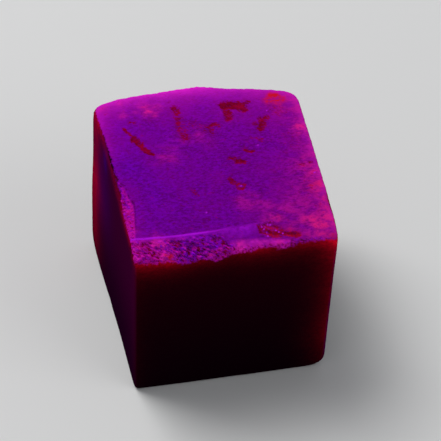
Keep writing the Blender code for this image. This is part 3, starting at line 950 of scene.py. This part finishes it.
def relief(points, normals, heights, broken, bare, pit, crumb):
    """How far the surface strays outwards, in millimetres."""
    sawn = SAWN_RELIEF * np.array([noise.noise(Vector(point) / SAWN_GRAIN) for point in points])
    lumps = np.array([noise.fractal(Vector(point) / BROKEN_GRAIN, 0.9, 2.0, 3) for point in points])
    lumps *= BROKEN_RELIEF * np.interp(points[:, 0], *CORNER_RELIEF)
    rough = np.maximum(broken, clamp(bare * pit * PIT_CRUMBS))
    fine = wander(points, "frost") + saw_marks(points, normals)
    stray = sawn + broken * lumps + rough * CRUMBS * crumb + (1.0 - rough) * fine - pit
    return stray + EDGE_BUMPS * worn_edge(points, heights)


def in_packed_box(points):
    """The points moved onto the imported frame, in metres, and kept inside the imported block's box."""
    placed = (points - (*OUTLINE_MIDDLE, -HALF)) * MM
    low, high = (np.array(corner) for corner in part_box("ruby_cube"))
    placed[:, :2] = np.clip(placed[:, :2], low[:2] + INSIDE_BOX, high[:2] - INSIDE_BOX)
    placed[:, 2] = np.clip(placed[:, 2], low[2], high[2] - INSIDE_BOX)
    return placed


def stone_mesh(shape, points):
    for vert, point in zip(shape.verts, points):
        vert.co = point
    mesh = bpy.data.meshes.new("ruby_stone")
    bmesh.ops.recalc_face_normals(shape, faces=shape.faces[:])
    shape.to_mesh(mesh)
    shape.free()
    mesh.shade_smooth()
    return mesh


def add_masks(mesh, masks):
    for name, values in masks.items():
        mask = mesh.attributes.new(name, "FLOAT", "POINT")
        mask.data.foreach_set("value", np.asarray(values, np.float32))


def stone_object():
    shape = fine_grid()
    points = onto_stone(grid_to_block(np.array([vert.co for vert in shape.verts])))
    normals = smooth_normals(points)
    heights = cut_heights(points)
    broken = brokenness(points)
    bare, pit = bare_patches(points)
    crumb = crumb_heights(points)
    rough = points + normals * relief(points, normals, heights, broken, bare, pit, crumb)[:, None]
    rough[points[:, 2] < FLAT_WITHIN - HALF, 2] = -HALF
    mesh = stone_mesh(shape, in_packed_box(rough))

    rim, haze = top_glow(points, heights)
    rim = rim * (1.0 + RIM_BUMPS * worn_edge(points, heights)) + bevel_sheen(points)
    right_glow = right_edge_glow(points, heights)
    add_masks(mesh, {
        # The first mask is the frosted top, painted as lit from above; the side faces around it are in
        # painted shade.
        "lit_top": lit_skin_coverage(points, heights),
        "rim": clamp(rim),
        "haze": haze,
        "side_glow": side_glow(points, normals, heights),
        # The next two: the left face painted lighter by violet light from that side, and bluish in places.
        "left": rise(*FACING, -normals[:, 0]),
        "blue": left_blue_light(points, normals),
        "blue_rim": blue_rim(points, normals, heights),
        "bare": bare,
        "broken": clamp(BROKEN_SOON * broken) * (points[:, 1] < 0.0),
        "crumb": crumb,
        "rosy": rosiness(points),
        # The pink mask also carries the painted glow along the right edge, the hot mask its orange-red
        # share.
        "pink_and_glow": clamp(soft_places(points, PINK_PLACES) + right_glow),
        "hot": clamp(soft_places(points, HOT_PLACES) + RIGHT_GLOW_HEAT * right_glow),
        "cool": soft_places(points, BLUE_PLACES),
        "sparkle": sparkle(points),
        # A painted highlight along the crease and painted light on the slope below it.
        "crease": crease_highlight(points),
        "seam": seam_line(points),
    })
    stone = bpy.data.objects.new("ruby_stone", mesh)
    bpy.context.scene.collection.objects.link(stone)
    return stone


# ---- Material ----

class Nodes:
    """Short calls that add shader nodes to one material and link them."""

    def __init__(self, material):
        self.tree = material.node_tree

    def put(self, socket, value):
        if isinstance(value, bpy.types.NodeSocket):
            self.tree.links.new(value, socket)
        else:
            socket.default_value = value

    def add(self, kind, sockets, **settings):
        """A new node with these settings and these values or links in its sockets."""
        node = self.tree.nodes.new(kind)
        for name, value in settings.items():
            setattr(node, name, value)
        for socket, value in sockets.items():
            self.put(node.inputs[socket], value)
        return node.outputs

    def mask(self, name):
        return self.add("ShaderNodeAttribute", {}, attribute_name=name)["Fac"]

    def math(self, operation, first, second, clamp=False):
        return self.add("ShaderNodeMath", {0: first, 1: second}, operation=operation, use_clamp=clamp)[0]

    def times(self, first, second, clamp=False):
        return self.math("MULTIPLY", first, second, clamp)

    def plus(self, first, second, clamp=False):
        return self.math("ADD", first, second, clamp)

    def remap(self, value, low, high, new_low=0.0, new_high=1.0):
        sockets = {0: value, 1: low, 2: high, 3: new_low, 4: new_high}
        return self.add("ShaderNodeMapRange", sockets, interpolation_type="SMOOTHSTEP")[0]

    def noise(self, place, size, detail, roughness):
        """Noise from 0 to 1 with lumps about size millimetres across."""
        sockets = {"Vector": place, "Scale": 1.0 / size, "Detail": detail, "Roughness": roughness}
        return self.add("ShaderNodeTexNoise", sockets)["Fac"]

    def mix(self, share, first, second):
        """A colour between two, each of them a socket or a red, green and blue."""
        sockets = {0: share}
        for socket, colour in ((6, first), (7, second)):
            sockets[socket] = colour if isinstance(colour, bpy.types.NodeSocket) else (*colour, 1.0)
        return self.add("ShaderNodeMix", sockets, data_type="RGBA", clamp_factor=True)[2]

    def paint(self, colour, layers):
        """The colour with each layer mixed over it: a layer is a share and a colour."""
        for share, layer in layers:
            colour = self.mix(share, colour, layer)
        return colour


def lit_violet_skin(nodes, speckle, mottle, cloud, spots):
    """The frosted skin in painted violet light from above, speckled from dark to light, bluer in some places
    and redder in spots.
    """
    violet = nodes.mix(nodes.remap(speckle, *VIOLET_SPECKLE), VIOLET_DARK, VIOLET_LIGHT)
    blue = nodes.mix(nodes.remap(speckle, *VIOLET_SPECKLE), BLUE_DARK, BLUE_LIGHT)
    return nodes.paint(violet, [
        (nodes.remap(cloud, *WARM_CLOUD), VIOLET_WARM),
        (nodes.remap(mottle, *LIGHT_MOTTLE), VIOLET_LIGHT),
        (nodes.mask("cool"), blue),
        (nodes.remap(spots, *CRIMSON_SPOTS), CRIMSON),
    ])


def broken_stone(nodes, crumb, tint):
    """The crumbs of the broken stone, violet or pink, with painted highlight where they are high, red in the
    hollows darkened with painted shade.
    """
    rosy = nodes.plus(nodes.mask("rosy"), nodes.remap(tint, *ROSY_TINT), clamp=True)
    stone = nodes.mix(rosy, BROKEN_VIOLET, BROKEN_PINK)
    bright = nodes.mix(rosy, BRIGHT_VIOLET, BRIGHT_PINK)
    stone = nodes.mix(nodes.remap(crumb, *BRIGHT_CRUMBS), stone, bright)
    hollow = nodes.mix(rosy, HOLLOW_DARK, HOLLOW_RED)
    return nodes.mix(nodes.remap(crumb, *OUT_OF_HOLLOW), hollow, stone)


def top_colour(nodes, speckle, mottle, cloud, spots, flecks, tint):
    """The skin of the top, its glows, its pink and orange-red places, its broken and its bare stone."""
    patchy = nodes.times(nodes.remap(mottle, *PATCHY_MOTTLE), nodes.remap(speckle, *PATCHY_SPECKLE))
    even = nodes.remap(mottle, *EVEN_MOTTLE)
    pink_and_glow = nodes.times(nodes.mask("pink_and_glow"), patchy, clamp=True)
    hot = nodes.times(nodes.mask("hot"), patchy, clamp=True)
    crumb = nodes.plus(nodes.mask("crumb"), nodes.remap(flecks, *CRUMB_FLECKS))
    crumb = nodes.plus(crumb, nodes.times(pink_and_glow, PINK_CRUMBS))
    # The hollows of the broken stone are in painted shade, which hides the pink and the rim glow there.
    hollow_shade = nodes.times(nodes.mask("broken"), nodes.remap(crumb, *IN_HOLLOW))
    in_light = nodes.math("SUBTRACT", 1.0, hollow_shade)
    rim = nodes.times(nodes.mask("rim"), even, clamp=True)
    bare = nodes.plus(nodes.mask("bare"), nodes.remap(flecks, *FRAYED_FLECKS))
    bare = nodes.plus(bare, nodes.remap(speckle, *FRAYED_SPECKLE))
    red = nodes.mix(nodes.remap(mottle, *RED_MOTTLE), CRIMSON, RED)
    return nodes.paint(lit_violet_skin(nodes, speckle, mottle, cloud, spots), [
        (nodes.times(nodes.mask("haze"), even, clamp=True), VIOLET_HAZE),
        (nodes.times(nodes.mask("rosy"), ROSY_SKIN), BROKEN_PINK),
        (nodes.mask("broken"), broken_stone(nodes, crumb, tint)),
        (nodes.times(pink_and_glow, in_light), PINK),
        (nodes.times(rim, in_light), RIM),
        (hot, ORANGE_RED),
        (nodes.times(nodes.mask("crease"), even, clamp=True), CREASE_HIGHLIGHT),
        (nodes.times(nodes.mask("seam"), SEAM_SHARE), SEAM_DARK),
        (nodes.remap(bare, *BARE_ENOUGH), nodes.mix(hot, red, ORANGE_RED)),
        (nodes.mask("sparkle"), SPARKLE),
    ])


def side_colour(nodes, height, speckle, mottle):
    """The side faces, the deep red stone in painted shade, darker towards the bottom, the left face lighter
    with painted violet light, and the red glow along their edges.
    """
    left = nodes.mix(nodes.mask("blue"), nodes.mix(height, LEFT_LOW, LEFT_HIGH), LEFT_BLUE)
    grainy = nodes.times(nodes.remap(mottle, *GLOW_MOTTLE), nodes.remap(speckle, *GLOW_SPECKLE))
    return nodes.paint(nodes.mix(height, SIDE_SHADE_LOW, SIDE_SHADE_HIGH), [
        (nodes.mask("left"), left),
        (nodes.times(nodes.mask("side_glow"), grainy, clamp=True), RED_GLOW),
        (nodes.mask("blue_rim"), RIM_BLUE),
    ])


def ruby_material():
    material = bpy.data.materials.new("frosted_ruby")
    material.use_nodes = True
    nodes = Nodes(material)
    metres = nodes.add("ShaderNodeTexCoord", {})["Object"]
    place = nodes.add("ShaderNodeVectorMath", {0: metres, "Scale": 1.0 / MM}, operation="SCALE")[0]
    height = nodes.remap(nodes.add("ShaderNodeSeparateXYZ", {0: place})["Z"], *SIDE_HEIGHTS)
    streaked = nodes.add("ShaderNodeVectorMath", {0: place, 1: SKIN_STREAKS}, operation="MULTIPLY")[0]
    lean = {"Vector": place, "Rotation": (0.0, 0.0, math.radians(FLECK_LEAN)), "Scale": FLECK_STRETCH}
    leaning = nodes.add("ShaderNodeMapping", lean, vector_type="TEXTURE")[0]
    speckle = nodes.noise(streaked, *SPECKLE)
    mottle = nodes.noise(streaked, *MOTTLE)
    cloud = nodes.noise(place, *CLOUD)
    spots = nodes.noise(place, *SPOTS)
    flecks = nodes.noise(leaning, *FLECKS)
    tint = nodes.noise(leaning, *TINT)

    top = top_colour(nodes, speckle, mottle, cloud, spots, flecks, tint)
    side = side_colour(nodes, height, speckle, mottle)
    bumps = {"Strength": BUMP_STRENGTH, "Distance": BUMP_HEIGHT, "Height": speckle}
    # The base colour puts the top, painted as lit from above, over the side faces in painted shade.
    look = {
        "Base Color": nodes.mix(nodes.mask("lit_top"), side, top),
        "Roughness": nodes.remap(nodes.mask("bare"), *BARE_ROUGHNESS),
        "Specular IOR Level": 0.0,
        "Normal": nodes.add("ShaderNodeBump", bumps)[0],
    }
    for socket, value in look.items():
        nodes.put(material.node_tree.nodes["Principled BSDF"].inputs[socket], value)
    return material


# ---- The studio ----

def floor_material():
    material = bpy.data.materials.new("pale_floor")
    material.use_nodes = True
    shader = material.node_tree.nodes["Principled BSDF"]
    shader.inputs["Base Color"].default_value = (*FLOOR_COLOUR, 1.0)
    shader.inputs["Roughness"].default_value = FLOOR_ROUGHNESS
    return material


def floor_object():
    mesh = bpy.data.meshes.new("floor")
    reach = FLOOR_REACH
    corners = [(-reach, -reach, 0), (reach, -reach, 0), (reach, reach, 0), (-reach, reach, 0)]
    mesh.from_pydata(corners, [], [(0, 1, 2, 3)])
    mesh.materials.append(floor_material())
    floor = bpy.data.objects.new("floor", mesh)
    bpy.context.scene.collection.objects.link(floor)


def soft_light(name, place, width, watts):
    """A square soft light that faces the stone."""
    light = bpy.data.lights.new(name, "AREA")
    light.size = width
    light.energy = watts
    lamp = bpy.data.objects.new(name, light)
    lamp.location = place
    lamp.rotation_mode = "QUATERNION"
    lamp.rotation_quaternion = (Vector((0, 0, HALF * MM)) - Vector(place)).to_track_quat("-Z", "Y")
    bpy.context.scene.collection.objects.link(lamp)


def studio_lights():
    for light in LIGHTS:
        soft_light(*light)
    world = bpy.data.worlds.new("studio")
    bpy.context.scene.world = world
    world.use_nodes = True
    background = world.node_tree.nodes["Background"]
    background.inputs["Color"].default_value = (*SKY_COLOUR, 1.0)
    background.inputs["Strength"].default_value = SKY_STRENGTH


def camera():
    azimuth, elevation = math.radians(CAMERA_AZIMUTH), math.radians(CAMERA_ELEVATION)
    back = Vector((
        math.sin(azimuth) * math.cos(elevation),
        -math.cos(azimuth) * math.cos(elevation),
        math.sin(elevation),
    ))
    data = bpy.data.cameras.new("camera")
    data.lens = LENS_MM
    data.clip_start = CAMERA_NEAREST
    lens = bpy.data.objects.new("camera", data)
    lens.location = Vector(CAMERA_AIM) + back * CAMERA_DISTANCE
    lens.rotation_mode = "QUATERNION"
    roll = Matrix.Rotation(math.radians(CAMERA_ROLL), 4, "Z").to_quaternion()
    lens.rotation_quaternion = (-back).to_track_quat("-Z", "Y") @ roll
    bpy.context.scene.collection.objects.link(lens)
    bpy.context.scene.camera = lens


def main():
    stone = stone_object()
    stone.data.materials.append(ruby_material())
    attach(stone, "root")
    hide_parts("ruby_cube")
    floor_object()
    studio_lights()
    camera()
    bpy.context.scene.view_settings.view_transform = "Standard"


main()
